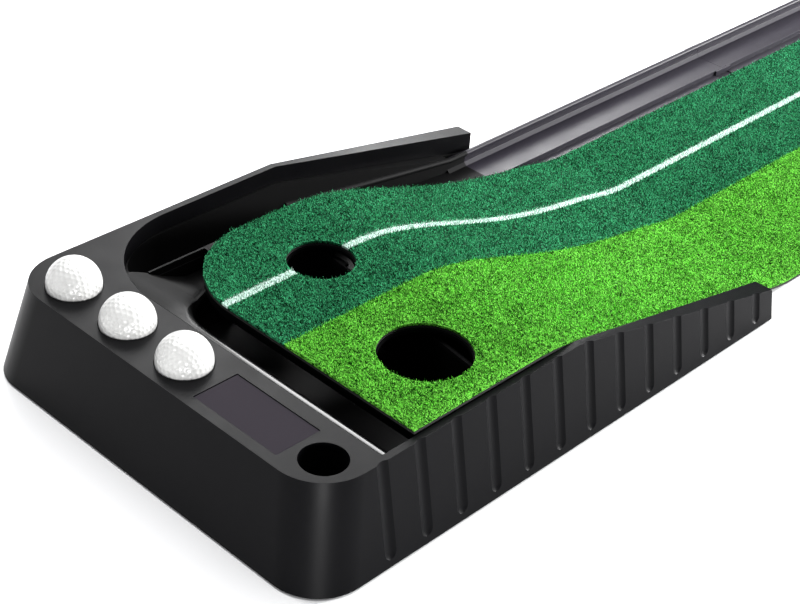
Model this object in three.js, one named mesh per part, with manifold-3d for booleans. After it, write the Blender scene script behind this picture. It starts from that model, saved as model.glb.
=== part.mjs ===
// Practice putting mat: a moulded base with a ball-return tray, a carpeted putting platform,
// a two-tone turf mat and a plug-together return track.
// Millimetres, +Z up. The mat runs along +X, away from the storage deck.
// Working origin: the deck's front top edge at the right-hand wall, on the ground.
import * as THREE from 'three';
import { mergeVertices } from 'three/addons/utils/BufferGeometryUtils.js';
import Module from 'manifold-3d';

// ---- driving dimensions -------------------------------------------------------------------
const TOTAL_LENGTH = 2500;       // whole object, deck foot to the free end of the mat
const BALL_D = 42.67;            // regulation golf ball
const GAP = 0.3;                 // room between pieces that touch

const DECK_WIDTH = 344;          // across the base at the top edge
const DECK_TOP = 83;             // deck height above the ground
const BASE_LENGTH = 518;         // deck front edge to the base's low end
const KINK_X = 266;              // where the side walls start to fall
const LOW_END_TOP = 28;          // wall height at the low end
const FLARE = 16.6;              // how far the walls spread out at the ground
const CORNER_R = 41;             // front corners in plan
const SKIN = 2.6;                // moulded wall thickness
const RIM = 6;                   // flat top of the side walls
const FOOT_PROUD = 1;            // pads stand this far below the casing

const FLUTE_COUNT = 13;          // grooves down the right-hand wall
const FLUTE_FIRST_X = 57;
const FLUTE_PITCH = 36.4;
const FLUTE_R = 10;
const FLUTE_DEPTH = 1.5;
const FLUTE_FOOT_Z = 9;
const FLUTE_FOOT_R = 5;          // how far the rounded foot reaches up

const SOCKET_X = 30.5;           // row of ball sockets on the deck
const SOCKET_Y = [301, 237, 173];
const SOCKET_CLEARANCE = 0.6;
const BALL_RISE = 2;             // ball centre above the deck
const WELL_X = 30.5;             // small well beside the sockets
const WELL_Y = 29;
const WELL_R = 17.8;
const WELL_DEPTH = 30;
const LABEL_X = 29.7;            // blank plate let into the deck
const LABEL_Y = 95.6;
const LABEL_LENGTH = 40;
const LABEL_WIDTH = 85;
const LABEL_THICK = 1.2;
const LABEL_RECESS = 1.8;

const RECESS_FRONT_X = 62.5;     // opening behind the deck
const RECESS_CORNER_R = 85;
const LEDGE_DROP = 15;           // casing skin meets the tray flange this far below the rim
const LEDGE_END_Z = 9;           // height of that line at the low end
const LEDGE_STEP = 2.5;          // flange seen inside the casing skin
const NOSE_R = 13;               // rounded lip between the deck and the catch pit

const FLOOR_SLOPE = 0.075;       // fall of the gutter floor along X
const FLOOR_TILT = 0.03;         // fall of the catch floor towards the gutter
const SPOUT_SETBACK = 18;        // gutter's end before the base's low end, where the track takes over
const GUTTER_END_R = 55;         // rounded blind end of the gutter
const GUTTER_LOW_WALL = 8;       // gutter's right-hand wall past the land, above its floor
const ROLL_R = 4;                // rolled top of the gutter's outer wall, at its high end
const ROLL_SLOPE = 0.12;
const LAND_RIGHT_Y = 250;        // land between the catch pit and the gutter
const LAND_TOP = 74;             // ridge beside the gutter, and the roof of the tunnel
const LAND_FOOT_X = 128;         // the land slopes down to here, below the mat's corner
const LAND_FOOT_Z = 56;
const PIT_CORNER_R = 50;
const TUNNEL_FRONT_X = 150;      // way from the pit through to the gutter
const CATCH_WALL_X = 186;        // slanted catch wall, at its right-hand end
const CATCH_WALL_SLANT = 0.135;
const CATCH_WALL_THICK = 6;
const CATCH_RIB_TOP = 50;
const CATCH_RIB_START_Y = 118;

const PLATFORM_FRONT_X = 96;     // carpeted platform
const PLATFORM_THICK = 3;
const PLATFORM_SKIRT = 8;
const PLATFORM_CORNER_R = 78;
const CREST_X = 225;             // the ramp starts to fall here
const RAMP_FOOT_Z = 11;
const SMALL_HOLE = { x: 192, y: 203, r: 26.4 };
const LARGE_HOLE = { x: 166, y: 65, r: 35.4 };

const MAT_WIDTH = 272;
const MAT_RIGHT_Y = 7;
const MAT_OVERHANG = 1.5;        // mat past the platform's front edge
const BACKING_THICK = 2;
const PILE_THICK = 4.7;
const MAT_SETTLE = 72;           // run past the base before the mat lies flat on the ground

const TRACK_RIGHT_Y = 289.5;     // return track beside the mat
const TRACK_WIDTH = 40.5;
const TRACK_WALL = 1.8;
const TRACK_FLOOR_Z = 2.2;       // underside of the channel floor
const TRACK_FLOOR_THICK = 1.8;
const TRACK_LIP_H = 4;           // low inner lip above the channel floor
const TRACK_FLANGE_W = 9.4;      // thin foot beside the low lip, towards the mat
const TRACK_BEAD_R = 2.6;        // rolled edge on the outer wall
const TRACK_BEAD_H = 12.8;       // its centre above the channel floor
const TRACK_COUNT = 5;
const TRACK_PITCH = 372;
const SLEEVE_LENGTH = 20;        // sleeve reaching back over the section before
const SLEEVE_ROOT = 6;
const SLEEVE_WALL = 1.7;
const END_STOP_LENGTH = 58;
const END_STOP_TOP = 24;

const SCREW_D = 3.5;
const SCREW_HEAD_D = 7;
const SCREW_HEAD_H = 2.4;
const SCREW_LENGTH = 12;
const BOSS_D = 9;
const PLATFORM_BOSS_H = 8;
const PAD_D = 16;
const GUSSET = 24;
const GUSSET_REACH = 30;
const GUSSET_THICK = 4.5;
const SIDE_SCREW_LENGTH = 9;
const SCREW_SINK = 2;             // screw heads sit this far below the carpeted face

const GUTTER_END_X = BASE_LENGTH - SPOUT_SETBACK;
const MAT_FLOOR_X = BASE_LENGTH + MAT_SETTLE;

// ---- solids -------------------------------------------------------------------------------
const wasm = await Module();
wasm.setup();

function solid(geometry) {
  const bare = geometry.index ? geometry.clone() : geometry;
  bare.deleteAttribute('normal');
  bare.deleteAttribute('uv');
  const merged = mergeVertices(bare, 1e-4);
  return new wasm.Manifold(new wasm.Mesh({
    numProp: 3,
    vertProperties: Float32Array.from(merged.attributes.position.array),
    triVerts: Uint32Array.from(merged.index.array),
  }));
}

function geometryOf(manifold) {
  const mesh = manifold.getMesh();
  const geometry = new THREE.BufferGeometry();
  geometry.setAttribute('position', new THREE.BufferAttribute(mesh.vertProperties, 3));
  geometry.setIndex(new THREE.BufferAttribute(mesh.triVerts, 1));
  geometry.computeVertexNormals();
  return geometry;
}

function join(pieces) {
  return pieces.reduce((sum, piece) => sum.add(piece));
}

function box(x0, x1, y0, y1, z0, z1) {
  const geometry = new THREE.BoxGeometry(x1 - x0, y1 - y0, z1 - z0);
  geometry.translate((x0 + x1) / 2, (y0 + y1) / 2, (z0 + z1) / 2);
  return solid(geometry);
}

function rod(x, y, z0, z1, r0, r1 = r0, sides = 32) {
  const geometry = new THREE.CylinderGeometry(r1, r0, z1 - z0, sides);
  geometry.rotateX(Math.PI / 2);
  geometry.translate(x, y, (z0 + z1) / 2);
  return solid(geometry);
}

// Straight prism over a plan outline, between two heights.
function prism(shape, z0, z1, curveSegments = 12) {
  const geometry = new THREE.ExtrudeGeometry(shape, {
    depth: z1 - z0,
    bevelEnabled: false,
    curveSegments,
  });
  geometry.translate(0, 0, z0);
  return solid(geometry);
}

// Prism across the width over an outline drawn in X and Z.
function crossPrism(shape, y0, y1, curveSegments = 12) {
  const geometry = new THREE.ExtrudeGeometry(shape, {
    depth: y1 - y0,
    bevelEnabled: false,
    curveSegments,
  });
  geometry.rotateX(Math.PI / 2);
  geometry.translate(0, y1, 0);
  return solid(geometry);
}

// Prism along X over an outline drawn in Y and Z.
function longPrism(shape, x0, x1, curveSegments = 8) {
  const geometry = new THREE.ExtrudeGeometry(shape, {
    depth: x1 - x0,
    bevelEnabled: false,
    curveSegments,
  });
  geometry.rotateX(Math.PI / 2);
  geometry.rotateZ(Math.PI / 2);
  geometry.translate(x0, 0, 0);
  return solid(geometry);
}

function outline(points) {
  const shape = new THREE.Shape();
  points.forEach(([x, y], i) => (i ? shape.lineTo(x, y) : shape.moveTo(x, y)));
  return shape;
}

// Closed solid between two plan outlines with the same number of points.
function loft(lower, z0, upper, z1) {
  const count = lower.length;
  const positions = [];
  lower.forEach(([x, y]) => positions.push(x, y, z0));
  upper.forEach(([x, y]) => positions.push(x, y, z1));
  const cap = THREE.ShapeUtils.triangulateShape(lower.map(([x, y]) => new THREE.Vector2(x, y)), []);
  const index = [];
  cap.forEach(([a, b, c]) => {
    index.push(a, c, b);
    index.push(a + count, b + count, c + count);
  });
  for (let i = 0; i < count; i += 1) {
    const j = (i + 1) % count;
    index.push(i, j, j + count);
    index.push(i, j + count, i + count);
  }
  const geometry = new THREE.BufferGeometry();
  geometry.setAttribute('position', new THREE.Float32BufferAttribute(positions, 3));
  geometry.setIndex(index);
  return solid(geometry);
}

// ---- base casing --------------------------------------------------------------------------
const BIG = 60;
const CORNER_STEPS = 14;
const PIT_CORNER_STEPS = 12;
const NOSE_STEPS = 7;

function spread(z) {
  return FLARE * (1 - z / DECK_TOP);
}

// Plan outline of the casing at height z, taken in by the given amount.
function casingOutline(z, inset) {
  const grow = spread(z) - inset;
  const front = -grow;
  const right = -grow;
  const left = DECK_WIDTH + grow;
  const radius = Math.max(CORNER_R - inset, 1);
  const points = [[BASE_LENGTH, right], [BASE_LENGTH, left]];
  for (let i = 0; i <= CORNER_STEPS; i += 1) {
    const turn = Math.PI / 2 * (1 + i / CORNER_STEPS);
    points.push([
      front + radius + radius * Math.cos(turn),
      left - radius + radius * Math.sin(turn),
    ]);
  }
  for (let i = 0; i <= CORNER_STEPS; i += 1) {
    const turn = Math.PI * (1 + 0.5 * i / CORNER_STEPS);
    points.push([
      front + radius + radius * Math.cos(turn),
      right + radius + radius * Math.sin(turn),
    ]);
  }
  return points;
}

function casingBody(inset, z0, z1) {
  return loft(casingOutline(z0, inset), z0, casingOutline(z1, inset), z1);
}

// Everything above a line that is level as far as the kink and then falls.
function aboveFall(levelZ, endZ) {
  const fall = (levelZ - endZ) / (BASE_LENGTH - KINK_X);
  const farX = BASE_LENGTH + BIG;
  return crossPrism(outline([
    [-BIG, levelZ],
    [KINK_X, levelZ],
    [farX, levelZ - fall * (farX - KINK_X)],
    [farX, DECK_TOP + BIG],
    [-BIG, DECK_TOP + BIG],
  ]), -BIG, DECK_WIDTH + BIG);
}

// Plan outline of the opening behind the deck, grown by the given amount.
function recessOutline(grow) {
  const front = RECESS_FRONT_X - grow;
  const right = RIM - grow;
  const left = DECK_WIDTH - RIM + grow;
  const radius = RECESS_CORNER_R + grow;
  const shape = new THREE.Shape();
  shape.moveTo(front, right);
  shape.lineTo(BASE_LENGTH + BIG, right);
  shape.lineTo(BASE_LENGTH + BIG, left);
  shape.lineTo(front + radius, left);
  shape.absarc(front + radius, left - radius, radius, Math.PI / 2, Math.PI, false);
  shape.closePath();
  return shape;
}

function flutes() {
  const cutters = [];
  const lean = Math.atan2(FLARE, DECK_TOP);
  for (let i = 0; i < FLUTE_COUNT; i += 1) {
    const geometry = new THREE.CapsuleGeometry(FLUTE_R, DECK_TOP * 1.4, 6, 32);
    geometry.rotateX(Math.PI / 2);
    geometry.translate(0, 0, DECK_TOP * 0.7 + FLUTE_FOOT_Z + FLUTE_FOOT_R);
    geometry.rotateX(-lean);
    const footY = -spread(0) - FLUTE_R + FLUTE_DEPTH;
    geometry.translate(FLUTE_FIRST_X + FLUTE_PITCH * i, footY, 0);
    cutters.push(solid(geometry));
  }
  return join(cutters);
}

const LEDGE_Z = DECK_TOP - LEDGE_DROP;
const SOCKET_R = BALL_D / 2 + SOCKET_CLEARANCE;
const BALL_Z = DECK_TOP + BALL_RISE;
const SOCKET_FLOOR_Z = BALL_Z - BALL_D / 2 - GAP;
const PAD_SPOTS = [
  [26, 22],
  [26, DECK_WIDTH - 22],
  [KINK_X, -6],
  [KINK_X, DECK_WIDTH + 6],
  [BASE_LENGTH - 22, -6],
  [BASE_LENGTH - 22, DECK_WIDTH + 6],
];
const DECK_BOSSES = [[53, 56], [53, 145]];
const DECK_BOSS_FOOT = 56;
const SIDE_BOSSES = [[KINK_X, 16], [BASE_LENGTH - 22, 16]];
const SIDE_BOSS_TOP = 10.6;
const TRAY_WEB_Z = FOOT_PROUD + GUSSET_THICK + GAP;
const TRAY_WEB_TOP = TRAY_WEB_Z + SKIN;

function gusset([x, y]) {
  const onRight = y < DECK_WIDTH / 2;
  const outer = onRight ? -FLARE : DECK_WIDTH + FLARE;
  const inner = onRight ? y + GUSSET_REACH : y - GUSSET / 2;
  return box(
    x - GUSSET / 2, x + GUSSET / 2,
    Math.min(outer, inner), Math.max(outer, inner),
    FOOT_PROUD, FOOT_PROUD + GUSSET_THICK,
  );
}

function cup(x, y, r, floorZ) {
  return rod(x, y, floorZ - SKIN, DECK_TOP - 0.1, r + SKIN);
}

function baseShell() {
  const outer = casingBody(0, FOOT_PROUD, DECK_TOP)
    .subtract(aboveFall(DECK_TOP, LOW_END_TOP))
    .subtract(flutes());
  const skinWall = prism(recessOutline(SKIN), -BIG, DECK_TOP)
    .intersect(aboveFall(LEDGE_Z, LEDGE_END_Z));
  const hollow = casingBody(SKIN, -1, DECK_TOP - SKIN)
    .subtract(aboveFall(DECK_TOP - SKIN, LOW_END_TOP - SKIN))
    .subtract(skinWall);
  const cups = SOCKET_Y.map((y) => cup(SOCKET_X, y, SOCKET_R, SOCKET_FLOOR_Z));
  cups.push(cup(WELL_X, WELL_Y, WELL_R, DECK_TOP - WELL_DEPTH));
  const labelBed = box(
    LABEL_X - LABEL_LENGTH / 2 - SKIN, LABEL_X + LABEL_LENGTH / 2 + SKIN,
    LABEL_Y - LABEL_WIDTH / 2 - SKIN, LABEL_Y + LABEL_WIDTH / 2 + SKIN,
    DECK_TOP - LABEL_RECESS - SKIN, DECK_TOP - 0.1,
  );
  const bosses = DECK_BOSSES.map(([x, y]) => rod(x, y, DECK_BOSS_FOOT, DECK_TOP - 1, BOSS_D / 2));
  const gussets = join(PAD_SPOTS.map(gusset)).intersect(casingBody(1, 0, DECK_TOP));
  let shell = outer.subtract(hollow);
  shell = join([shell, ...cups, labelBed, ...bosses, gussets]);
  shell = shell.subtract(prism(recessOutline(0), FOOT_PROUD + GUSSET_THICK + 0.1, DECK_TOP + BIG));
  SOCKET_Y.forEach((y) => {
    shell = shell.subtract(rod(SOCKET_X, y, SOCKET_FLOOR_Z, DECK_TOP + 5, SOCKET_R, SOCKET_R, 40));
  });
  shell = shell.subtract(rod(WELL_X, WELL_Y, DECK_TOP - WELL_DEPTH, DECK_TOP + 5, WELL_R, WELL_R, 40));
  shell = shell.subtract(box(
    LABEL_X - LABEL_LENGTH / 2 - GAP, LABEL_X + LABEL_LENGTH / 2 + GAP,
    LABEL_Y - LABEL_WIDTH / 2 - GAP, LABEL_Y + LABEL_WIDTH / 2 + GAP,
    DECK_TOP - LABEL_RECESS, DECK_TOP + 5,
  ));
  DECK_BOSSES.forEach(([x, y]) => {
    shell = shell.subtract(screwHole(x, y, 0, DECK_BOSS_FOOT + SCREW_LENGTH));
  });
  SIDE_BOSSES.forEach(([x, y]) => {
    shell = shell.subtract(screwHole(x, y, 0, FOOT_PROUD + GUSSET_THICK + 1));
    shell = shell.subtract(rod(x, y, 0, FOOT_PROUD + SKIN, SCREW_HEAD_D / 2 + GAP, undefined, 16));
  });
  return shell;
}

// ---- return tray --------------------------------------------------------------------------
const GUTTER_RIGHT_Y = TRACK_RIGHT_Y + TRACK_WALL;
const GUTTER_LEFT_Y = DECK_WIDTH - RIM - LEDGE_STEP;
const TRACK_FLOOR_TOP = TRACK_FLOOR_Z + TRACK_FLOOR_THICK;
const SPOUT_START_X = GUTTER_END_X - SLEEVE_LENGTH - 3;

// Everything above the sloping gutter floor, lifted by the given amount.
function aboveFloor(lift, tilt) {
  const reach = 700;
  const geometry = new THREE.BoxGeometry(2 * reach, 2 * reach, reach);
  geometry.translate(0, 0, reach / 2);
  geometry.rotateX(-Math.atan(tilt));
  geometry.rotateY(Math.atan(FLOOR_SLOPE));
  geometry.translate(SPOUT_START_X, GUTTER_RIGHT_Y, TRACK_FLOOR_TOP + lift);
  return solid(geometry);
}

function catchWallX(y) {
  return CATCH_WALL_X + CATCH_WALL_SLANT * y;
}

// The catch pit in plan, from the deck to the slanted wall.
function pitPoints(grow) {
  const front = RECESS_FRONT_X + NOSE_R - grow;
  const right = RIM + SKIN + GAP - grow;
  const left = LAND_RIGHT_Y + grow;
  const radius = PIT_CORNER_R + grow;
  const points = [[front, right], [catchWallX(right) + grow, right], [catchWallX(left) + grow, left]];
  for (let i = 0; i <= PIT_CORNER_STEPS; i += 1) {
    const turn = Math.PI / 2 * (1 + i / PIT_CORNER_STEPS);
    points.push([
      front + radius + radius * Math.cos(turn),
      left - radius + radius * Math.sin(turn),
    ]);
  }
  return points;
}

function pitOutline(grow) {
  return outline(pitPoints(grow));
}

// The catch pit's mouth: it opens out in a quarter round towards the deck.
function pitMouth() {
  const layers = [];
  const level = (k) => {
    const turn = Math.PI / 2 * k / NOSE_STEPS;
    return { grow: NOSE_R * (1 - Math.cos(turn)), z: DECK_TOP - NOSE_R + NOSE_R * Math.sin(turn) };
  };
  for (let k = 0; k < NOSE_STEPS; k += 1) {
    const below = level(k);
    const above = level(k + 1);
    layers.push(loft(pitPoints(below.grow), below.z, pitPoints(above.grow), above.z));
  }
  const top = level(NOSE_STEPS);
  layers.push(prism(pitOutline(top.grow), top.z - 0.01, top.z + BIG));
  return join(layers);
}

// Everything below the land, which curves down from the deck to its foot; the tunnel's roof follows.
function belowLand(lift) {
  const run = LAND_FOOT_X - RECESS_FRONT_X;
  const ease = new THREE.CubicBezierCurve(
    new THREE.Vector2(RECESS_FRONT_X, DECK_TOP),
    new THREE.Vector2(RECESS_FRONT_X + run * 0.3, DECK_TOP),
    new THREE.Vector2(RECESS_FRONT_X + run * 0.45, (DECK_TOP + LAND_FOOT_Z) / 2),
    new THREE.Vector2(LAND_FOOT_X, LAND_FOOT_Z),
  ).getPoints(10).map((p) => [p.x, p.y + lift]);
  return crossPrism(outline([
    [RECESS_FRONT_X, -BIG],
    [BASE_LENGTH, -BIG],
    [BASE_LENGTH, LAND_TOP + lift],
    [TUNNEL_FRONT_X - SKIN, LAND_TOP + lift],
    [TUNNEL_FRONT_X - SKIN, LAND_FOOT_Z + lift],
    ...ease.reverse(),
  ]), -BIG, DECK_WIDTH + BIG);
}

function tunnelOutline(grow) {
  const farY = GUTTER_RIGHT_Y + 6;
  return outline([
    [TUNNEL_FRONT_X - grow, LAND_RIGHT_Y - PIT_CORNER_R],
    [catchWallX(LAND_RIGHT_Y - PIT_CORNER_R) + grow, LAND_RIGHT_Y - PIT_CORNER_R],
    [catchWallX(farY) + grow, farY],
    [TUNNEL_FRONT_X - grow, farY],
  ]);
}

// The return gutter in plan: a rounded blind end, narrowing to the track at its far end.
function gutterOutline(grow, endX) {
  const right = GUTTER_RIGHT_Y - grow;
  const wideLeft = GUTTER_LEFT_Y + grow;
  const narrowLeft = TRACK_RIGHT_Y + TRACK_WIDTH - TRACK_WALL + grow;
  const front = RECESS_FRONT_X + 22 - grow;
  const radius = GUTTER_END_R;
  const shape = new THREE.Shape();
  shape.moveTo(front, right);
  shape.lineTo(endX, right);
  shape.lineTo(endX, narrowLeft);
  shape.lineTo(SPOUT_START_X - 10, narrowLeft);
  shape.lineTo(KINK_X, wideLeft);
  shape.lineTo(front + radius, wideLeft);
  shape.bezierCurveTo(front + radius * 0.45, wideLeft, front, wideLeft - radius * 0.35, front, right + 6);
  shape.closePath();
  return shape;
}

const PLATFORM_RIGHT_Y = RIM + 1.2;
const PLATFORM_LEFT_Y = MAT_RIGHT_Y + MAT_WIDTH - 1;
const PLATFORM_END_X = BASE_LENGTH - 1;
const PLATFORM_BOSSES = [
  [135, LAND_RIGHT_Y + 18],
  [135, PLATFORM_RIGHT_Y + 6],
  [300, 40],
  [300, 240],
  [440, 40],
  [440, 240],
];

function trayBosses() {
  return PLATFORM_BOSSES.map(([x, y]) => {
    return rod(x, y, TRAY_WEB_Z, platformTop(x) - PLATFORM_BOSS_H - GAP, BOSS_D / 2, undefined, 20);
  });
}

function returnTray() {
  const flangeTop = LEDGE_Z - GAP;
  const flangeEnd = LEDGE_END_Z - GAP;
  const flangeZone = prism(recessOutline(SKIN), -BIG, DECK_TOP)
    .subtract(aboveFall(flangeTop, flangeEnd))
    .intersect(aboveFall(flangeTop - SKIN, flangeEnd - SKIN))
    .subtract(box(
      RECESS_FRONT_X + SKIN, BASE_LENGTH + 2 * BIG,
      PLATFORM_RIGHT_Y - GAP, TRACK_RIGHT_Y + TRACK_WALL / 2, -BIG, DECK_TOP,
    ))
    .subtract(box(SPOUT_START_X, BASE_LENGTH + 2 * BIG, 0, GUTTER_LEFT_Y, -BIG, DECK_TOP))
    .subtract(box(BASE_LENGTH - 1, BASE_LENGTH + 2 * BIG, 0, DECK_WIDTH, -BIG, DECK_TOP));
  const belowFlange = prism(recessOutline(SKIN), -BIG, DECK_TOP)
    .subtract(aboveFall(flangeTop, flangeEnd));
  const gutterWalls = prism(gutterOutline(SKIN, SPOUT_START_X), 0, DECK_TOP)
    .intersect(aboveFloor(-SKIN, 0))
    .intersect(belowFlange);
  const pitWalls = prism(pitOutline(SKIN), 0, flangeTop)
    .intersect(aboveFloor(-SKIN, FLOOR_TILT));
  const tunnelWalls = prism(tunnelOutline(SKIN), 0, flangeTop)
    .intersect(aboveFloor(-SKIN, FLOOR_TILT));
  const insideSkin = prism(recessOutline(-GAP), -BIG, DECK_TOP);
  const land = box(
    RECESS_FRONT_X + GAP, catchWallX(LAND_RIGHT_Y),
    LAND_RIGHT_Y - PIT_CORNER_R, TRACK_RIGHT_Y + TRACK_WALL,
    0, DECK_TOP,
  ).intersect(insideSkin).intersect(belowLand(0)).subtract(belowLand(-SKIN));
  const landStep = box(
    TUNNEL_FRONT_X - SKIN, TUNNEL_FRONT_X,
    LAND_RIGHT_Y - PIT_CORNER_R, TRACK_RIGHT_Y + TRACK_WALL,
    LAND_FOOT_Z - SKIN, LAND_TOP,
  ).intersect(insideSkin);
  const lip = prism(pitOutline(NOSE_R), LEDGE_Z - 2, DECK_TOP)
    .intersect(insideSkin)
    .intersect(belowLand(0))
    .intersect(box(0, RECESS_FRONT_X + NOSE_R + PIT_CORNER_R, 0, DECK_WIDTH, 0, DECK_TOP));
  const landWall = box(
    RECESS_FRONT_X + 30, catchWallX(TRACK_RIGHT_Y),
    TRACK_RIGHT_Y, TRACK_RIGHT_Y + TRACK_WALL,
    40, LAND_TOP,
  ).intersect(insideSkin);
  const pitWallTop = prism(pitOutline(SKIN), flangeTop - 1, LAND_TOP)
    .intersect(insideSkin)
    .intersect(belowLand(0));
  const catchWall = crossWall(TRAY_WEB_Z, LAND_TOP, RIM + SKIN + GAP, CATCH_RIB_START_Y);
  const catchRib = crossWall(TRAY_WEB_Z, CATCH_RIB_TOP, CATCH_RIB_START_Y - 1, GUTTER_RIGHT_Y);
  const web = box(
    catchWallX(RIM) + CATCH_WALL_THICK - 2, SPOUT_START_X - 2,
    RIM + GAP, GUTTER_RIGHT_Y,
    TRAY_WEB_Z, TRAY_WEB_TOP,
  );
  const webEnd = box(
    SPOUT_START_X - 3, PLATFORM_END_X - 12,
    RIM + GAP, TRACK_RIGHT_Y - 2 * SLEEVE_WALL,
    TRAY_WEB_Z, TRAY_WEB_TOP,
  );
  const ears = DECK_BOSSES.map(([x, y]) => box(
    x - BOSS_D, RECESS_FRONT_X + NOSE_R - SKIN / 2, y - BOSS_D / 2, y + BOSS_D / 2,
    DECK_BOSS_FOOT - GAP - SKIN, DECK_BOSS_FOOT - GAP,
  ));
  let tray = join([
    flangeZone, gutterWalls, pitWalls, tunnelWalls, pitWallTop, lip, land, landStep, landWall, web, webEnd,
    ...ears,
  ]);
  tray = tray.subtract(prism(pitOutline(0), 0, DECK_TOP + 1).intersect(aboveFloor(0, FLOOR_TILT)));
  tray = tray.subtract(pitMouth());
  tray = tray.subtract(prism(tunnelOutline(0), 0, LAND_TOP - SKIN).intersect(aboveFloor(0, FLOOR_TILT)));
  tray = tray.subtract(prism(gutterOutline(0, SPOUT_START_X + 1), 0, DECK_TOP + 1)
    .intersect(aboveFloor(0, 0)));
  tray = tray.subtract(box(
    catchWallX(TRACK_RIGHT_Y) + CATCH_WALL_THICK + SKIN, SPOUT_START_X,
    PLATFORM_LEFT_Y, GUTTER_RIGHT_Y + 1, 0, DECK_TOP,
  ).intersect(aboveFloor(GUTTER_LOW_WALL, 0)));
  const sideBosses = SIDE_BOSSES.map(([x, y]) => {
    return rod(x, y, TRAY_WEB_Z, SIDE_BOSS_TOP, BOSS_D / 2, undefined, 20);
  });
  tray = join([tray, catchWall, catchRib, gutterRoll(), ...trayBosses(), ...sideBosses]);
  const screwHoles = [
    ...PLATFORM_BOSSES.map(([x, y]) => screwHole(x, y, platformTop(x) - SCREW_LENGTH - 2, platformTop(x))),
    ...DECK_BOSSES.map(([x, y]) => screwHole(x, y, DECK_BOSS_FOOT - 10, DECK_BOSS_FOOT)),
    ...SIDE_BOSSES.map(([x, y]) => screwHole(x, y, 0, SIDE_BOSS_TOP - 0.5)),
  ];
  return tray.subtract(join(screwHoles));
}

// Rolled top of the gutter's outer wall, running down into the track's rolled edge.
function gutterRoll() {
  const low = new THREE.Vector3(
    SPOUT_START_X + 2, TRACK_RIGHT_Y + TRACK_WIDTH - TRACK_BEAD_R, TRACK_FLOOR_TOP + TRACK_BEAD_H,
  );
  const run = low.x - KINK_X - 10;
  const high = new THREE.Vector3(low.x - run, GUTTER_LEFT_Y + 0.5, low.z + run * ROLL_SLOPE);
  const along = high.clone().sub(low);
  const geometry = new THREE.CylinderGeometry(ROLL_R, TRACK_BEAD_R, along.length(), 20);
  geometry.applyQuaternion(new THREE.Quaternion().setFromUnitVectors(
    new THREE.Vector3(0, 1, 0),
    along.clone().normalize(),
  ));
  geometry.translate(...low.clone().add(high).multiplyScalar(0.5).toArray());
  return solid(geometry);
}

function screwHole(x, y, z0, z1) {
  return rod(x, y, z0, z1, SCREW_D / 2 + GAP, undefined, 12);
}

// Slanted wall across the tray, with a rounded top.
function crossWall(z0, z1, y0, y1) {
  const half = CATCH_WALL_THICK / 2;
  const shape = new THREE.Shape();
  shape.moveTo(0, z0);
  shape.lineTo(CATCH_WALL_THICK, z0);
  shape.lineTo(CATCH_WALL_THICK, z1 - half);
  shape.absarc(half, z1 - half, half, 0, Math.PI, false);
  shape.closePath();
  const geometry = new THREE.ExtrudeGeometry(shape, {
    depth: y1 - y0,
    bevelEnabled: false,
    curveSegments: 8,
  });
  geometry.rotateX(Math.PI / 2);
  geometry.translate(0, y1, 0);
  const lean = new THREE.Matrix4().set(
    1, CATCH_WALL_SLANT, 0, CATCH_WALL_X,
    0, 1, 0, 0,
    0, 0, 1, 0,
    0, 0, 0, 1,
  );
  geometry.applyMatrix4(lean);
  return solid(geometry);
}

// ---- platform and mat ---------------------------------------------------------------------
// Top line of the platform: level, then falling in an easy double curve to the ground.
const rampCurve = new THREE.CubicBezierCurve(
  new THREE.Vector2(CREST_X, DECK_TOP),
  new THREE.Vector2(CREST_X + 80, DECK_TOP),
  new THREE.Vector2(CREST_X + 140, DECK_TOP * 0.385),
  new THREE.Vector2(BASE_LENGTH, RAMP_FOOT_Z),
);
const RAMP_STEPS = 14;

function rampPoints() {
  return rampCurve.getPoints(RAMP_STEPS).map((p) => [p.x, p.y]);
}

function platformTop(x) {
  if (x <= CREST_X) {
    return DECK_TOP;
  }
  const points = rampPoints();
  for (let i = 1; i < points.length; i += 1) {
    const [x0, z0] = points[i - 1];
    const [x1, z1] = points[i];
    if (x <= x1) {
      return z0 + (z1 - z0) * (x - x0) / (x1 - x0);
    }
  }
  return RAMP_FOOT_Z;
}

// Points offset square to the line they follow.
function lifted(points, distance) {
  return points.map(([x, z], i) => {
    const [xa, za] = points[Math.max(i - 1, 0)];
    const [xb, zb] = points[Math.min(i + 1, points.length - 1)];
    const run = Math.hypot(xb - xa, zb - za);
    return [x - distance * (zb - za) / run, z + distance * (xb - xa) / run];
  });
}

function band(points, low, high) {
  return outline([...lifted(points, low), ...lifted(points, high).reverse()]);
}

// Plan outline with a rounded front-left corner.
function matOutline(front, end, right, left, radius) {
  const shape = new THREE.Shape();
  shape.moveTo(front, right);
  shape.lineTo(end, right);
  shape.lineTo(end, left);
  shape.lineTo(front + radius, left);
  shape.absarc(front + radius, left - radius, radius, Math.PI / 2, Math.PI, false);
  shape.closePath();
  return shape;
}

function cupHoles(margin) {
  return join([SMALL_HOLE, LARGE_HOLE].map(({ x, y, r }) => {
    return rod(x, y, DECK_TOP - BIG, DECK_TOP + BIG, r + margin, undefined, 48);
  }));
}

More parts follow.
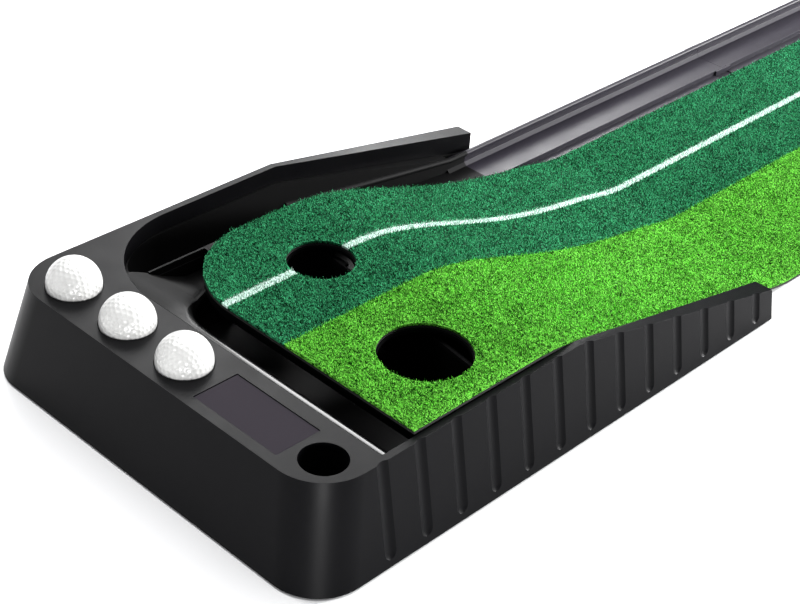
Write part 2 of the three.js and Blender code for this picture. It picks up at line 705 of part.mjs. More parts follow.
function platform() {
  const line = [[PLATFORM_FRONT_X, DECK_TOP], ...rampPoints()];
  const last = line[line.length - 1];
  last[0] = PLATFORM_END_X;
  const plan = (inset) => prism(matOutline(
    PLATFORM_FRONT_X + inset, PLATFORM_END_X - inset,
    PLATFORM_RIGHT_Y + inset, PLATFORM_LEFT_Y - inset, PLATFORM_CORNER_R - inset,
  ), -BIG, DECK_TOP + BIG);
  const deep = crossPrism(band(line, -PLATFORM_SKIRT, 0), PLATFORM_RIGHT_Y, PLATFORM_LEFT_Y);
  const under = crossPrism(band(line, -PLATFORM_SKIRT - 8, -PLATFORM_THICK), 0, DECK_WIDTH);
  const skirtAndPlate = deep.intersect(plan(0)).subtract(under.intersect(plan(PLATFORM_THICK)));
  const bosses = PLATFORM_BOSSES.map(([x, y]) => {
    const top = platformTop(x);
    return rod(x, y, top - PLATFORM_BOSS_H, top - PLATFORM_THICK + 0.2, BOSS_D / 2, undefined, 20);
  });
  const belowWeb = box(-BIG, BASE_LENGTH + BIG, -BIG, DECK_WIDTH, -BIG, TRAY_WEB_TOP + GAP);
  let piece = join([skirtAndPlate, ...bosses]).subtract(cupHoles(0)).subtract(belowWeb);
  PLATFORM_BOSSES.forEach(([x, y]) => {
    const top = platformTop(x);
    piece = piece.subtract(screwHole(x, y, top - 20, top + 5));
    const seat = top - SCREW_SINK - SCREW_HEAD_H - GAP;
    piece = piece.subtract(rod(x, y, seat, top + 6, SCREW_HEAD_D / 2 + GAP, undefined, 16));
  });
  SIDE_BOSSES.forEach(([x, y]) => {
    piece = piece.subtract(rod(x, y, 0, SIDE_BOSS_TOP + GAP, BOSS_D / 2 + GAP, undefined, 20));
  });
  return piece;
}

const MAT_FRONT_X = PLATFORM_FRONT_X - MAT_OVERHANG;
const MAT_END_X = TOTAL_LENGTH - FLARE;

function matLine() {
  const run = new THREE.CubicBezierCurve(
    new THREE.Vector2(BASE_LENGTH, RAMP_FOOT_Z + GAP),
    new THREE.Vector2(BASE_LENGTH + 25, RAMP_FOOT_Z * 0.68),
    new THREE.Vector2(MAT_FLOOR_X - 30, 0),
    new THREE.Vector2(MAT_FLOOR_X, 0),
  ).getPoints(6).map((p) => [p.x, p.y]);
  const onBase = lifted([[MAT_FRONT_X, DECK_TOP], ...rampPoints().slice(0, -1)], GAP);
  return [...onBase, ...run, [MAT_END_X, 0]];
}

function matLayer(low, high) {
  const plan = prism(matOutline(
    MAT_FRONT_X, MAT_END_X + BIG,
    MAT_RIGHT_Y, MAT_RIGHT_Y + MAT_WIDTH, PLATFORM_CORNER_R + MAT_OVERHANG,
  ), -BIG, DECK_TOP + BIG);
  return crossPrism(band(matLine(), low, high), -BIG, DECK_WIDTH + BIG)
    .intersect(plan)
    .subtract(cupHoles(1));
}

// ---- return track -------------------------------------------------------------------------
// Channel section in Y and Z: low lip, floor, and an outer wall with a rolled edge.
function channelShape() {
  const inner = TRACK_RIGHT_Y;
  const outer = TRACK_RIGHT_Y + TRACK_WIDTH;
  const floorTop = TRACK_FLOOR_TOP;
  const beadY = outer - TRACK_BEAD_R;
  const beadZ = floorTop + TRACK_BEAD_H;
  const neck = TRACK_BEAD_R - TRACK_WALL;
  const shape = new THREE.Shape();
  shape.moveTo(inner, TRACK_FLOOR_Z);
  shape.lineTo(outer, TRACK_FLOOR_Z);
  shape.lineTo(outer, beadZ);
  shape.absarc(beadY, beadZ, TRACK_BEAD_R, 0, Math.PI + Math.acos(neck / TRACK_BEAD_R) * 0.9, false);
  shape.lineTo(outer - TRACK_WALL, beadZ - TRACK_BEAD_R);
  shape.lineTo(outer - TRACK_WALL, floorTop + 3);
  shape.lineTo(outer - TRACK_WALL - 3, floorTop);
  shape.lineTo(inner + TRACK_WALL, floorTop);
  shape.lineTo(inner + TRACK_WALL, floorTop + TRACK_LIP_H);
  shape.lineTo(inner, floorTop + TRACK_LIP_H);
  shape.closePath();
  return shape;
}

// Sleeve section: hugs the outside of the channel.
function sleeveShape() {
  const inner = TRACK_RIGHT_Y - GAP;
  const outer = TRACK_RIGHT_Y + TRACK_WIDTH + GAP;
  const top = TRACK_FLOOR_TOP + TRACK_BEAD_H;
  const lip = TRACK_FLOOR_TOP + TRACK_LIP_H;
  return outline([
    [inner - SLEEVE_WALL, 0],
    [outer + SLEEVE_WALL, 0],
    [outer + SLEEVE_WALL, top],
    [outer, top],
    [outer, TRACK_FLOOR_Z - GAP],
    [inner, TRACK_FLOOR_Z - GAP],
    [inner, lip],
    [inner - SLEEVE_WALL, lip],
  ]);
}

function sleeve(x) {
  const hug = longPrism(sleeveShape(), x - SLEEVE_LENGTH, x + SLEEVE_ROOT);
  const rootY0 = TRACK_RIGHT_Y - GAP - SLEEVE_WALL / 2;
  const rootY1 = TRACK_RIGHT_Y + TRACK_WIDTH + GAP + SLEEVE_WALL / 2;
  const root = box(x + GAP, x + SLEEVE_ROOT, rootY0, rootY1, TRACK_FLOOR_Z - 2 * GAP, TRACK_FLOOR_TOP);
  return hug.add(root);
}

// Thin foot on the mat's side, from the sleeve to where the next sleeve takes over.
function flange(start, end) {
  const right = TRACK_RIGHT_Y - TRACK_FLANGE_W;
  const besideSleeve = TRACK_RIGHT_Y - GAP - SLEEVE_WALL / 2;
  return box(
    start + GAP, end - SLEEVE_LENGTH - 2 * GAP,
    right, TRACK_RIGHT_Y + TRACK_WALL, 0, TRACK_FLOOR_Z + TRACK_FLOOR_THICK / 2,
  ).add(box(start - SLEEVE_LENGTH, start + SLEEVE_ROOT, right, besideSleeve, 0, TRACK_FLOOR_Z));
}

function trackSection(start, length) {
  return longPrism(channelShape(), start + GAP, start + length)
    .add(sleeve(start))
    .add(flange(start, start + length));
}

function endStop(start) {
  const channel = longPrism(channelShape(), start + GAP, start + END_STOP_LENGTH);
  const wall = box(
    start + END_STOP_LENGTH - 3, start + END_STOP_LENGTH,
    TRACK_RIGHT_Y, TRACK_RIGHT_Y + TRACK_WIDTH, TRACK_FLOOR_Z, END_STOP_TOP,
  );
  return join([channel, sleeve(start), flange(start, start + END_STOP_LENGTH + SLEEVE_LENGTH), wall]);
}

// The gutter's own spout carries the first sleeve.
function spout() {
  return longPrism(channelShape(), GUTTER_END_X - SLEEVE_LENGTH - 3, GUTTER_END_X);
}

// ---- small parts --------------------------------------------------------------------------
function screwUp(x, y, headZ, length) {
  return rod(x, y, headZ - SCREW_HEAD_H + 0.2, headZ, SCREW_HEAD_D / 2, undefined, 16)
    .add(rod(x, y, headZ - 0.5, headZ + length - 3, SCREW_D / 2, undefined, 10));
}

function screwDown(x, y, headZ) {
  return rod(x, y, headZ - SCREW_HEAD_H, headZ, SCREW_HEAD_D / 2, undefined, 16)
    .add(rod(x, y, headZ - SCREW_LENGTH, headZ - 1, SCREW_D / 2, undefined, 10));
}

function ball() {
  return new THREE.SphereGeometry(BALL_D / 2, 24, 14);
}

// ---- assembly -----------------------------------------------------------------------------
const finish = {
  casing: { color: 0x1b1a1f, roughness: 0.38, metalness: 0 },
  tray: { color: 0x0c0c0e, roughness: 0.42, metalness: 0 },
  turf: { color: 0x1f8f3a, roughness: 0.95, metalness: 0 },
  rubber: { color: 0x101010, roughness: 0.8, metalness: 0 },
  ball: { color: 0xf4f4f2, roughness: 0.25, metalness: 0 },
  plate: { color: 0x2f2d32, roughness: 0.55, metalness: 0 },
  steel: { color: 0x8b8d90, roughness: 0.35, metalness: 1 },
};

const object = new THREE.Group();
object.position.set((spread(FOOT_PROUD) - MAT_END_X) / 2, -DECK_WIDTH / 2, 0);

function place(name, geometry, look, position = [0, 0, 0]) {
  const mesh = new THREE.Mesh(geometry, new THREE.MeshStandardMaterial(look));
  mesh.name = name;
  mesh.position.set(...position);
  object.add(mesh);
}

place('base_shell', geometryOf(baseShell()), finish.casing);
place('return_tray', geometryOf(returnTray().add(spout())), finish.tray);
place('putting_platform', geometryOf(platform()), finish.tray);
place('mat_backing', geometryOf(matLayer(0, BACKING_THICK)), finish.rubber);
place('turf_pile', geometryOf(matLayer(BACKING_THICK + GAP, BACKING_THICK + GAP + PILE_THICK)), finish.turf);
place('blank_plate', geometryOf(box(
  LABEL_X - LABEL_LENGTH / 2, LABEL_X + LABEL_LENGTH / 2,
  LABEL_Y - LABEL_WIDTH / 2, LABEL_Y + LABEL_WIDTH / 2,
  DECK_TOP - LABEL_RECESS + GAP / 3, DECK_TOP - LABEL_RECESS + GAP / 3 + LABEL_THICK,
)), finish.plate);
SOCKET_Y.forEach((y, i) => {
  place(`golf_ball_${i + 1}`, ball(), finish.ball, [SOCKET_X, y, BALL_Z]);
});
for (let i = 0; i < TRACK_COUNT; i += 1) {
  const start = GUTTER_END_X + TRACK_PITCH * i;
  place(`track_section_${i + 1}`, geometryOf(trackSection(start, TRACK_PITCH)), finish.casing);
}
place('track_end_stop', geometryOf(endStop(GUTTER_END_X + TRACK_PITCH * TRACK_COUNT)), finish.casing);
PAD_SPOTS.forEach(([x, y], i) => {
  const pad = rod(x, y, 0, FOOT_PROUD - 0.1, PAD_D / 2, undefined, 24);
  place(`rubber_foot_${i + 1}`, geometryOf(pad), finish.rubber);
});
PLATFORM_BOSSES.forEach(([x, y], i) => {
  place(`platform_screw_${i + 1}`, geometryOf(screwDown(x, y, platformTop(x) - SCREW_SINK)), finish.steel);
});
DECK_BOSSES.forEach(([x, y], i) => {
  const screw = screwUp(x, y, DECK_BOSS_FOOT - SKIN - 2 * GAP, SCREW_LENGTH);
  place(`tray_screw_${i + 1}`, geometryOf(screw), finish.steel);
});
SIDE_BOSSES.forEach(([x, y], i) => {
  const screw = screwUp(x, y, FOOT_PROUD + SKIN - GAP, SIDE_SCREW_LENGTH);
  place(`tray_screw_${i + 1 + DECK_BOSSES.length}`, geometryOf(screw), finish.steel);
});

export default object;
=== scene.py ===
"""Practice putting mat: moulded base with ball deck and return gutter, two-tone turf and track.

Metres, in the part's own frame: +X runs along the mat away from the ball deck, +Y is the side
of the return track, +Z is up, and the ground is at Z = 0.
"""
import math

import bpy
import numpy as np
from mathutils import Matrix, Vector


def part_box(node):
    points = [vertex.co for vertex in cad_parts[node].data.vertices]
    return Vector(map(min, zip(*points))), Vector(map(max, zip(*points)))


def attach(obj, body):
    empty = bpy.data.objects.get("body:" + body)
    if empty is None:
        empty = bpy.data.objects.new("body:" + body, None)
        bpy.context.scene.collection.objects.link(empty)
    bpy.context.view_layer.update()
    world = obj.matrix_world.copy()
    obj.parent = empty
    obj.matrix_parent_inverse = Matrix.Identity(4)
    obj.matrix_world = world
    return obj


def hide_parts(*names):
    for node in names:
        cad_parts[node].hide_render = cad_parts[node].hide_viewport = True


MM = 0.001
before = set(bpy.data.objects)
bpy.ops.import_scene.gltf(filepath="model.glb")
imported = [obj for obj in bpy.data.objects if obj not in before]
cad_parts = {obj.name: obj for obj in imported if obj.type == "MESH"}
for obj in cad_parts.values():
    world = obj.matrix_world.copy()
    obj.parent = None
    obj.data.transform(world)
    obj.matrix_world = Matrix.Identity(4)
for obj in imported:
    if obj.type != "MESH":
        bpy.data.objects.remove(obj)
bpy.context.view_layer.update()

# ---- places taken from the frame ------------------------------------------------------------
casing_low, casing_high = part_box("base_shell")
turf_low, turf_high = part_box("turf_pile")
BASE_FLARE = 16.4 * MM            # the casing's walls spread this far at the ground
DECK_FRONT = casing_low.x + BASE_FLARE
RIGHT_RIM = casing_low.y + BASE_FLARE
DECK_TOP = casing_high.z
LIP_LENGTH = 82 * MM              # the tray's polished lip: along the mat, down and across
LIP_DEPTH = 16 * MM
LIP_WIDTH = 215 * MM

# ---- the mat's pattern and pile -----------------------------------------------------------------
BAND_EDGE_Y = turf_low.y + 131 * MM      # light green on the right of this, dark on the left
LINE_Y = turf_low.y + 197 * MM           # white putting line
LINE_HALF = 3.4 * MM
CORNER_R = 79.5 * MM                     # rounded front-left corner of the mat
HOLES = (
    (turf_low.x + 97.5 * MM, turf_low.y + 196 * MM, 27.4 * MM),
    (turf_low.x + 71.5 * MM, turf_low.y + 58 * MM, 36.4 * MM),
)
PILE_DEPTH = 2.4 * MM                    # free length of the blades above the thatch
ROOT_SINK = 0.5 * MM                     # the blades start this far inside the thatch
BLADE_HEIGHTS = (1.6, 4.0)               # shortest and tallest, mm
BLADE_LEAN = 1.7                         # most that a tip leans, mm
BLADE_SEED = 40
RAY_INSET = 4 * MM                       # the mat's top is read this far in from its edge


# ---- helpers: shader maths --------------------------------------------------------------------
class Signal:
    """A number coming out of a shader node, with ordinary arithmetic."""

    def __init__(self, finish, socket):
        self.finish = finish
        self.socket = socket

    def math(self, operation, *others):
        return self.finish.add("ShaderNodeMath", {"operation": operation}, [self, *others])

    def __add__(self, other):
        return self.math("ADD", other)

    __radd__ = __add__

    def __mul__(self, other):
        return self.math("MULTIPLY", other)

    __rmul__ = __mul__

    def __sub__(self, other):
        return self.math("SUBTRACT", other)

    def __rsub__(self, other):
        return self.finish.add("ShaderNodeMath", {"operation": "SUBTRACT"}, [other, self])

    def above(self, level, softness):
        """0 below the level, 1 above it, with a soft step between."""
        return ((self - level) * (0.5 / softness) + 0.5).math("MAXIMUM", 0).math("MINIMUM", 1)


class Finish:
    """A material made node by node around one Principled shader."""

    def __init__(self, name, **settings):
        self.material = bpy.data.materials.new(name)
        self.material.use_nodes = True
        self.tree = self.material.node_tree
        self.shader = self.tree.nodes["Principled BSDF"]
        for socket, value in settings.items():
            self.shader.inputs[socket.replace("_", " ")].default_value = value
        self.place = self.add("ShaderNodeTexCoord", output="Object")

    def add(self, kind, settings=None, inputs=None, output=0):
        node = self.tree.nodes.new(kind)
        for key, value in (settings or {}).items():
            setattr(node, key, value)
        named = inputs.items() if isinstance(inputs, dict) else enumerate(inputs or [])
        for key, value in named:
            if isinstance(value, Signal):
                self.tree.links.new(value.socket, node.inputs[key])
            else:
                node.inputs[key].default_value = value
        return Signal(self, node.outputs[output])

    def axis(self, name):
        return self.add("ShaderNodeSeparateXYZ", inputs=[self.place], output=name)

    def noise(self, scale, detail=2.0, roughness=0.5, stretch=None):
        return self.add("ShaderNodeTexNoise", inputs={
            "Vector": self.stretched(stretch),
            "Scale": scale,
            "Detail": detail,
            "Roughness": roughness,
        })

    def cells(self, scale, stretch=None, output="Color"):
        return self.add("ShaderNodeTexVoronoi", inputs={
            "Vector": self.stretched(stretch),
            "Scale": scale,
        }, output=output)

    def stretched(self, factors):
        if factors is None:
            return self.place
        return self.add("ShaderNodeMapping", inputs={"Vector": self.place, "Scale": factors})

    def brightness(self, colour):
        return self.add("ShaderNodeRGBToBW", inputs=[colour])

    def mix(self, factor, first, second):
        node = self.tree.nodes.new("ShaderNodeMix")
        node.data_type = "RGBA"
        for key, value in ((0, factor), (6, first), (7, second)):
            if isinstance(value, Signal):
                self.tree.links.new(value.socket, node.inputs[key])
            else:
                node.inputs[key].default_value = value
        return Signal(self, node.outputs[2])

    def feed(self, socket, signal):
        self.tree.links.new(signal.socket, self.shader.inputs[socket])

    def bump(self, height, distance, strength=1.0):
        self.feed("Normal", self.add("ShaderNodeBump", inputs={
            "Strength": strength,
            "Distance": distance,
            "Height": height,
        }))


def rgb(r, g, b):
    """A colour given as 0 to 255, as the shader's linear one."""
    def linear(c):
        c /= 255
        return c / 12.92 if c <= 0.04045 else ((c + 0.055) / 1.055) ** 2.4
    return (linear(r), linear(g), linear(b), 1.0)


# ---- finishes -------------------------------------------------------------------------------
def moulded_plastic(name, dark, pale, gloss, grain, shine=0.14):
    """Black moulded plastic: fine spark-eroded grain, faint flow marks and handling smears."""
    finish = Finish(name, Specular_IOR_Level=shine)
    flow = finish.noise(9, 4, 0.6, stretch=(1.0, 2.5, 1.0))
    smears = finish.noise(38, 5, 0.65)
    fine = finish.noise(2600, 2, 0.5)
    finish.feed("Base Color", finish.mix(flow * 0.7 + fine * 0.3, dark, pale))
    finish.feed("Roughness", smears.above(0.5, 0.2) * 0.07 + flow * 0.05 + gloss)
    finish.bump(fine, grain)
    return finish.material


def turf_colour(finish, tone):
    """Light and dark green bands with the white line, mottled by a tone from 0 to 1."""
    across = finish.axis("Y") + (finish.noise(520, 2) - 0.5) * (4 * MM)
    on_dark = across.above(BAND_EDGE_Y, 0.4 * MM)
    near_line = 1 - (across - LINE_Y).math("ABSOLUTE").above(LINE_HALF, 0.4 * MM)
    light = finish.mix((tone * 1.45).math("MINIMUM", 1), rgb(3, 50, 1), rgb(146, 255, 92))
    dark = finish.mix(tone, rgb(0, 18, 8), rgb(84, 214, 146))
    green = finish.mix(on_dark, light, dark)
    white = finish.mix(tone, rgb(170, 205, 190), rgb(252, 255, 252))
    return finish.mix(near_line, green, white)


def turf_thatch():
    """The mat between its blades: matted fibre, painted darker as shade falling between the
    blades.
    """
    finish = Finish("turf_thatch", Specular_IOR_Level=0.02, Roughness=0.95)
    strands = finish.brightness(finish.cells(900, stretch=(1.0, 0.7, 1.0)))
    clumps = finish.noise(60, 3)
    # painted shade: the tone is lowered so the thatch reads as the shade between the blades
    tone = (strands * 0.5 + clumps * 0.2 - 0.2).math("MAXIMUM", 0)
    finish.feed("Base Color", turf_colour(finish, tone))
    finish.bump(strands, 1.2 * MM)
    return finish.material


def turf_blades():
    """Free blades with painted shade: each blade darkened towards its root, each patch of fibre
    with its own tone.
    """
    finish = Finish("turf_blades", Specular_IOR_Level=0.12, Roughness=0.6)
    single = finish.brightness(finish.cells(700)).above(0.5, 0.09)
    clumps = finish.noise(45, 3)
    along = finish.add("ShaderNodeAttribute", {"attribute_name": "along_blade"}, output="Fac")
    # painted shade: the random tone fades towards each blade's root
    tone_with_root_shade = (single + clumps * 0.5 - 0.18) * (along * 0.8 + 0.2)
    colour = turf_colour(finish, tone_with_root_shade.math("MAXIMUM", 0))
    # painted shade: the lower part of each blade is mixed to near-black green
    finish.feed("Base Color", finish.mix(along.above(0.3, 0.3), rgb(1, 14, 6), colour))
    return finish.material


def ball_cover():
    """White cover with a clear coat, dulled a little where it was handled."""
    finish = Finish("ball_cover", Coat_Weight=0.3, Coat_Roughness=0.12)
    marks = finish.noise(120, 4)
    finish.feed("Base Color", finish.mix(marks, rgb(186, 186, 184), rgb(206, 206, 204)))
    finish.feed("Roughness", marks * 0.12 + 0.24)
    return finish.material


def soft_rubber(name, scale):
    """Matt black rubber with a crumbly surface."""
    finish = Finish(name, Specular_IOR_Level=0.25)
    crumbs = finish.noise(scale, 4, 0.6)
    finish.feed("Base Color", finish.mix(crumbs, rgb(14, 14, 14), rgb(36, 36, 35)))
    finish.feed("Roughness", crumbs * 0.2 + 0.7)
    finish.bump(crumbs, 0.3 * MM)
    return finish.material


def plated_steel():
    """Zinc-plated steel with fine turning lines."""
    finish = Finish("plated_steel", Metallic=1.0)
    lines = finish.noise(900, 3, stretch=(1.0, 1.0, 12.0))
    finish.feed("Base Color", finish.mix(lines, rgb(150, 152, 156), rgb(205, 206, 210)))
    finish.feed("Roughness", lines * 0.2 + 0.25)
    return finish.material


def satin_plate():
    """Dull plate with a fine brushed grain."""
    finish = Finish("satin_plate", Specular_IOR_Level=0.04)
    weave = finish.noise(700, 3, stretch=(1.0, 6.0, 1.0))
    finish.feed("Base Color", finish.mix(weave, rgb(37, 34, 39), rgb(48, 44, 50)))
    finish.feed("Roughness", weave * 0.12 + 0.75)
    finish.bump(weave, 0.05 * MM)
    return finish.material


def tray_plastic():
    """Black inner moulding: matt, but polished on the rounded lip behind the deck."""
    finish = Finish("tray_plastic", Specular_IOR_Level=0.08)
    fine = finish.noise(2200, 2, 0.5)
    smears = finish.noise(30, 4, 0.6)
    on_lip = 1 - finish.axis("X").above(DECK_FRONT + LIP_LENGTH, 5 * MM)
    on_lip = on_lip * finish.axis("Z").above(DECK_TOP - LIP_DEPTH, 3 * MM)
    on_lip = on_lip * (1 - finish.axis("Y").above(RIGHT_RIM + LIP_WIDTH, 26 * MM))
    finish.feed("Base Color", finish.mix(fine, rgb(1, 1, 1), rgb(4, 4, 5)))
    finish.feed("Roughness", smears * 0.06 + 0.58 - on_lip * 0.43)
    finish.bump(fine, 0.006 * MM)
    return finish.material


CASING = moulded_plastic("casing_plastic", rgb(5, 5, 6), rgb(11, 11, 13), 0.3, 0.04 * MM, 0.05)
TRAY = tray_plastic()
UNDERSIDE = moulded_plastic("platform_plastic", rgb(3, 3, 4), rgb(7, 7, 8), 0.6, 0.08 * MM, 0.03)
TRACK = moulded_plastic("track_plastic", rgb(26, 24, 31), rgb(42, 39, 48), 0.4, 0.04 * MM, 0.16)


# ---- helpers: meshes ------------------------------------------------------------------------
def only(piece):
    """Makes this the one selected object."""
    bpy.ops.object.select_all(action="DESELECT")
    piece.select_set(True)
    bpy.context.view_layer.objects.active = piece


def dress(piece, finish):
    piece.data.materials.clear()
    piece.data.materials.append(finish)


def copy_of(node, name):
    """A copy of a frame node's solid, merged and with its flat faces whole again."""
    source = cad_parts[node]
    piece = bpy.data.objects.new(name, source.data.copy())
    bpy.context.scene.collection.objects.link(piece)
    only(piece)
    bpy.ops.object.mode_set(mode="EDIT")
    bpy.ops.mesh.select_all(action="SELECT")
    bpy.ops.mesh.remove_doubles(threshold=2e-6)
    bpy.ops.mesh.dissolve_limited(angle_limit=math.radians(0.4))
    bpy.ops.object.mode_set(mode="OBJECT")
    return piece


def soften(piece, width, segments=2, angle=28, smooth=30):
    """Rounds the sharp edges a little, as a mould does, and shades the rest smooth."""
    only(piece)
    edge = piece.modifiers.new("edge", "BEVEL")
    edge.width = width
    edge.segments = segments
    edge.limit_method = "ANGLE"
    edge.angle_limit = math.radians(angle)
    edge.use_clamp_overlap = True
    edge.miter_outer = "MITER_ARC"
    bpy.ops.object.modifier_apply(modifier=edge.name)
    bpy.ops.object.shade_smooth_by_angle(angle=math.radians(smooth))
    level = piece.modifiers.new("level", "WEIGHTED_NORMAL")
    level.keep_sharp = True
    level.weight = 100
    bpy.ops.object.modifier_apply(modifier=level.name)


def place(piece, node, body, finish):
    """Gives a piece its finish, the body it rides on and the CAD node it stands in for."""
    dress(piece, finish)
    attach(piece, body)
    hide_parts(node)
    return piece


def moulding(name, node, body, finish, edge, smooth=30):
    """A CAD solid taken over whole, with softened edges and its own finish."""
    piece = copy_of(node, name)
    soften(piece, edge, smooth=smooth)
    place(piece, node, body, finish)


# ---- camera ---------------------------------------------------------------------------------
SENSOR_WIDTH = 36          # mm
LENS = 80.39               # mm
SHIFT_X, SHIFT_Y = -0.0764, -0.0071
EYE_BACK = 0.62977         # from the deck's front edge
EYE_RIGHT = 0.62718        # from the right wall's rim
EYE_HEIGHT = 0.84654
HEADING, TILT, ROLL = 39.837, 33.859, 5.615     # degrees


def turned(heading, tilt, roll):
    """Camera axes from a heading about +Z, a tilt down from level and a roll, in degrees."""
    a, e, r = (math.radians(v) for v in (heading, tilt, roll))
    forward = Vector((math.cos(a) * math.cos(e), math.sin(a) * math.cos(e), -math.sin(e)))
    side = forward.cross(Vector((0, 0, 1))).normalized()
    up = side.cross(forward)
    right = math.cos(r) * side + math.sin(r) * up
    top = -math.sin(r) * side + math.cos(r) * up
    return Matrix((right, top, -forward)).transposed()


def make_camera():
    """Looks down along the deck's near corner towards the mat."""
    data = bpy.data.cameras.new("camera")
    data.sensor_width = SENSOR_WIDTH
    data.lens = LENS
    data.shift_x = SHIFT_X
    data.shift_y = SHIFT_Y
    camera = bpy.data.objects.new("camera", data)
    eye = Vector((DECK_FRONT - EYE_BACK, RIGHT_RIM - EYE_RIGHT, EYE_HEIGHT))
    camera.matrix_world = Matrix.Translation(eye) @ turned(HEADING, TILT, ROLL).to_4x4()
    bpy.context.scene.collection.objects.link(camera)
    bpy.context.scene.camera = camera


make_camera()


# ---- hard parts -----------------------------------------------------------------------------
moulding("base_casing", "base_shell", "root", CASING, 0.9 * MM, smooth=24)
moulding("gutter_tray", "return_tray", "root", TRAY, 0.6 * MM, smooth=28)
moulding("mat_platform", "putting_platform", "root", UNDERSIDE, 0.5 * MM)
for i in range(1, 6):
    node = f"track_section_{i}"
    moulding(f"track_run_{i}", node, f"track_{i}", TRACK, 0.4 * MM)
moulding("track_end", "track_end_stop", "end_stop", TRACK, 0.4 * MM)
moulding("deck_plate", "blank_plate", "root", satin_plate(), 0.3 * MM)
rubber = soft_rubber("foot_rubber", 900)
for i in range(1, 7):
    moulding(f"foot_pad_{i}", f"rubber_foot_{i}", "root", rubber, 0.25 * MM)
steel = plated_steel()
for i in range(1, 7):
    moulding(f"mat_screw_{i}", f"platform_screw_{i}", "root", steel, 0.2 * MM)
for i in range(1, 5):
    moulding(f"casing_screw_{i}", f"tray_screw_{i}", "root", steel, 0.2 * MM)


# ---- golf balls -----------------------------------------------------------------------------
DIMPLE_FREQUENCY = 6
DIMPLE_R = 1.72 * MM
DIMPLE_DEPTH = 0.34 * MM


def dimple_centres():
    """Points spread over a unit ball: an icosahedron's faces, each divided evenly."""
    bpy.ops.mesh.primitive_ico_sphere_add(subdivisions=1, radius=1)
    seed = bpy.context.object
    points = set()
    for face in seed.data.polygons:
        a, b, c = (seed.data.vertices[i].co for i in face.vertices)
        for i in range(DIMPLE_FREQUENCY + 1):
            for j in range(DIMPLE_FREQUENCY + 1 - i):
                k = DIMPLE_FREQUENCY - i - j
                spot = (a * i + b * j + c * k).normalized()
                points.add(tuple(round(v, 5) for v in spot))
    bpy.data.objects.remove(seed)
    return np.array(sorted(points))


def golf_ball(number, centres, finish):
    """A dimpled ball in the place and size of its CAD solid."""
    node = f"golf_ball_{number}"
    low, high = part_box(node)
    centre = (low + high) / 2
    radius = (high.z - low.z) / 2
    bpy.ops.mesh.primitive_ico_sphere_add(subdivisions=7, radius=radius)
    ball = bpy.context.object
    ball.name = f"ball_{number}"
    count = len(ball.data.vertices)
    points = np.zeros(count * 3)
    ball.data.vertices.foreach_get("co", points)
    outward = points.reshape(-1, 3) / radius
    turn = Matrix.Rotation(0.7 * number, 3, "X") @ Matrix.Rotation(1.1 * number, 3, "Z")
    nearest = (outward @ (centres @ np.array(turn)).T).max(axis=1)
    away = np.arccos(np.clip(nearest, -1, 1)) * radius / DIMPLE_R
    dent = DIMPLE_DEPTH * np.clip(1 - away ** 2, 0, 1) ** 0.8
    moved = outward * (radius - dent)[:, None] + np.array(centre)
    ball.data.vertices.foreach_set("co", moved.ravel())
    only(ball)
    bpy.ops.object.shade_smooth()
    place(ball, node, f"ball_{number}", finish)


cover = ball_cover()
spots = dimple_centres()
for i in range(1, 4):
    golf_ball(i, spots, cover)


# ---- turf -----------------------------------------------------------------------------------
def top_line(node, steps=480):
    """The top of a mat layer along its right-hand edge, as lists of X and Z."""
    low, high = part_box(node)
    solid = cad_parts[node]
    runs = []
    for x in np.linspace(low.x + 0.2 * MM, high.x - 0.2 * MM, steps):
        found, spot, _, _ = solid.ray_cast((x, low.y + RAY_INSET, high.z + 0.1), (0, 0, -1))
        if found:
            runs.append((spot.x, spot.z))
    return np.array(runs).T


def inside_mat(x, y, margin):
    """True where a point lies on the mat, clear of its holes and rounded corner."""
    inside = (x > turf_low.x + margin) & (x < turf_high.x - margin)
    inside &= (y > turf_low.y + margin) & (y < turf_high.y - margin)
    cx, cy = turf_low.x + CORNER_R, turf_high.y - CORNER_R
    in_corner = (x < cx) & (y > cy)
    inside &= ~in_corner | (np.hypot(x - cx, y - cy) < CORNER_R - margin)
    for hx, hy, hr in HOLES:
        inside &= np.hypot(x - hx, y - hy) > hr + margin
    return inside


line_x, line_z = top_line("turf_pile")


def mat_slab():
    """The woven body of the mat, lowered so that its blades reach the mat's true height."""
    piece = copy_of("turf_pile", "turf_mat")
    for v in piece.data.vertices:
        if v.co.z > np.interp(v.co.x, line_x, line_z) - 1 * MM:
            v.co.z -= PILE_DEPTH
    soften(piece, 0.4 * MM)
    return place(piece, "turf_pile", "mat", turf_thatch())


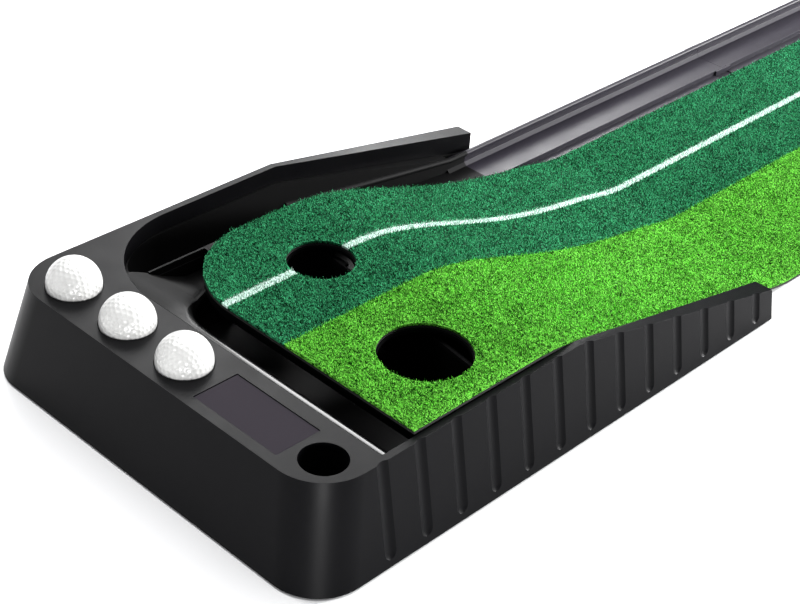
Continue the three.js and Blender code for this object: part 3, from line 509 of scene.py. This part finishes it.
def blades(name, x0, x1, pitch, width, seed, finish):
    """Free blades of turf between two places along the mat."""
    rng = np.random.default_rng(seed)
    xs = np.arange(x0, x1, pitch)
    ys = np.arange(turf_low.y, turf_high.y, pitch)
    x, y = (g.ravel() for g in np.meshgrid(xs, ys))
    x = x + rng.uniform(-0.5, 0.5, len(x)) * pitch
    y = y + rng.uniform(-0.5, 0.5, len(y)) * pitch
    keep = inside_mat(x, y, 0.3 * MM) & (x >= x0) & (x < x1)
    x, y = x[keep], y[keep]
    count = len(x)
    root = np.interp(x, line_x, line_z) - PILE_DEPTH - ROOT_SINK
    height = rng.uniform(*BLADE_HEIGHTS, count) * MM
    lean = rng.uniform(0, BLADE_LEAN, count) * MM
    heading = rng.uniform(0, 2 * math.pi, count)
    tip = np.stack([x + lean * np.cos(heading), y + lean * np.sin(heading), root + height], 1)
    spin = rng.uniform(0, 2 * math.pi, count)
    verts = np.zeros((count, 4, 3))
    for k in range(3):
        turn = spin + 2 * math.pi * k / 3
        verts[:, k, 0] = x + width * np.cos(turn)
        verts[:, k, 1] = y + width * np.sin(turn)
        verts[:, k, 2] = root
    verts[:, 3] = tip
    first = np.arange(count)[:, None] * 4
    faces = np.concatenate([
        first + np.array([0, 1, 3]),
        first + np.array([1, 2, 3]),
        first + np.array([2, 0, 3]),
        first + np.array([0, 2, 1]),
    ])
    mesh = bpy.data.meshes.new(name)
    mesh.from_pydata(verts.reshape(-1, 3).tolist(), [], faces.tolist())
    along = mesh.attributes.new("along_blade", "FLOAT", "POINT")
    along.data.foreach_set("value", np.tile((0.0, 0.0, 0.0, 1.0), count))
    piece = bpy.data.objects.new(name, mesh)
    bpy.context.scene.collection.objects.link(piece)
    dress(piece, finish)
    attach(piece, "mat")
    return piece


slab = mat_slab()
blade_finish = turf_blades()
ZONES = (                                # start, end, spacing and root radius of the blades
    (turf_low.x, turf_low.x + 0.30, 1.5 * MM, 0.42 * MM),
    (turf_low.x + 0.30, turf_low.x + 0.80, 1.8 * MM, 0.5 * MM),
    (turf_low.x + 0.80, turf_low.x + 1.60, 2.3 * MM, 0.6 * MM),
    (turf_low.x + 1.60, turf_high.x, 2.6 * MM, 0.7 * MM),
)
tufts = [
    blades(f"turf_blades_{i + 1}", x0, x1, pitch, width, BLADE_SEED + i, blade_finish)
    for i, (x0, x1, pitch, width) in enumerate(ZONES)
]
backing = copy_of("mat_backing", "mat_underlay")
soften(backing, 0.3 * MM)
place(backing, "mat_backing", "mat", soft_rubber("backing_rubber", 1500))

mat_width = turf_high.y - turf_low.y
mat_length = float(np.hypot(np.diff(line_x), np.diff(line_z)).sum())
mat_area = mat_width * mat_length - (1 - math.pi / 4) * CORNER_R ** 2
mat_area -= sum(math.pi * r ** 2 for _, _, r in HOLES)


# ---- floor and light --------------------------------------------------------------------------
def make_floor():
    """A plain pale floor, half a millimetre below the feet."""
    bpy.ops.mesh.primitive_plane_add(size=24, location=(0, 0, -0.0005))
    floor = bpy.context.object
    floor.name = "studio_floor"
    finish = Finish("studio_floor", Specular_IOR_Level=0.1, Roughness=0.9)
    shade = finish.noise(1.5, 2)
    finish.feed("Base Color", finish.mix(shade, rgb(243, 243, 243), rgb(247, 247, 247)))
    dress(floor, finish.material)


def softbox(name, where, aim, size, power):
    """An area lamp of a size in metres and a power in watts, turned towards a spot."""
    data = bpy.data.lights.new(name, "AREA")
    data.shape = "RECTANGLE"
    data.size, data.size_y = size
    data.energy = power
    lamp = bpy.data.objects.new(name, data)
    lamp.location = where
    lamp.rotation_euler = (Vector(aim) - Vector(where)).to_track_quat("-Z", "Y").to_euler()
    bpy.context.scene.collection.objects.link(lamp)


make_floor()
corner = Vector((DECK_FRONT, RIGHT_RIM, 0))
deck_aim = corner + Vector((0.03, 0.25, 0.08))
lip_aim = corner + Vector((0.07, 0.1, 0.08))
cup_aim = corner + Vector((0.2, 0.17, 0.08))
wall_aim = corner + Vector((0, 0, 0.03))
softbox("deck_box", corner + Vector((1.22, 1.55, 1.32)), deck_aim, (0.6, 0.85), 24)
softbox("lip_box", corner + Vector((1.55, 1.13, 0.72)), lip_aim, (0.42, 0.5), 19)
softbox("top_box", (0.3, 0.5, 3.2), (-0.5, 0.0, 0.0), (4.6, 3.6), 140)
softbox("key_box", corner + Vector((0.0, 1.25, 1.9)), cup_aim, (0.6, 0.6), 22)
softbox("side_box", (1.3, -1.15, 0.4), (-1.0, -0.18, 0.05), (0.4, 0.5), 150)
softbox("rail_box", (1.5, -0.7, 1.7), (0.1, 0.15, 0.02), (0.8, 0.8), 42)
softbox("corner_box", corner + Vector((-0.56, -0.66, 0.09)), wall_aim, (0.14, 0.12), 10)
world = bpy.data.worlds.new("studio")
world.use_nodes = True
world.node_tree.nodes["Background"].inputs["Color"].default_value = (0.93, 0.94, 1.0, 1)
world.node_tree.nodes["Background"].inputs["Strength"].default_value = 0.25
bpy.context.scene.world = world
bpy.context.scene.view_settings.view_transform = "Standard"
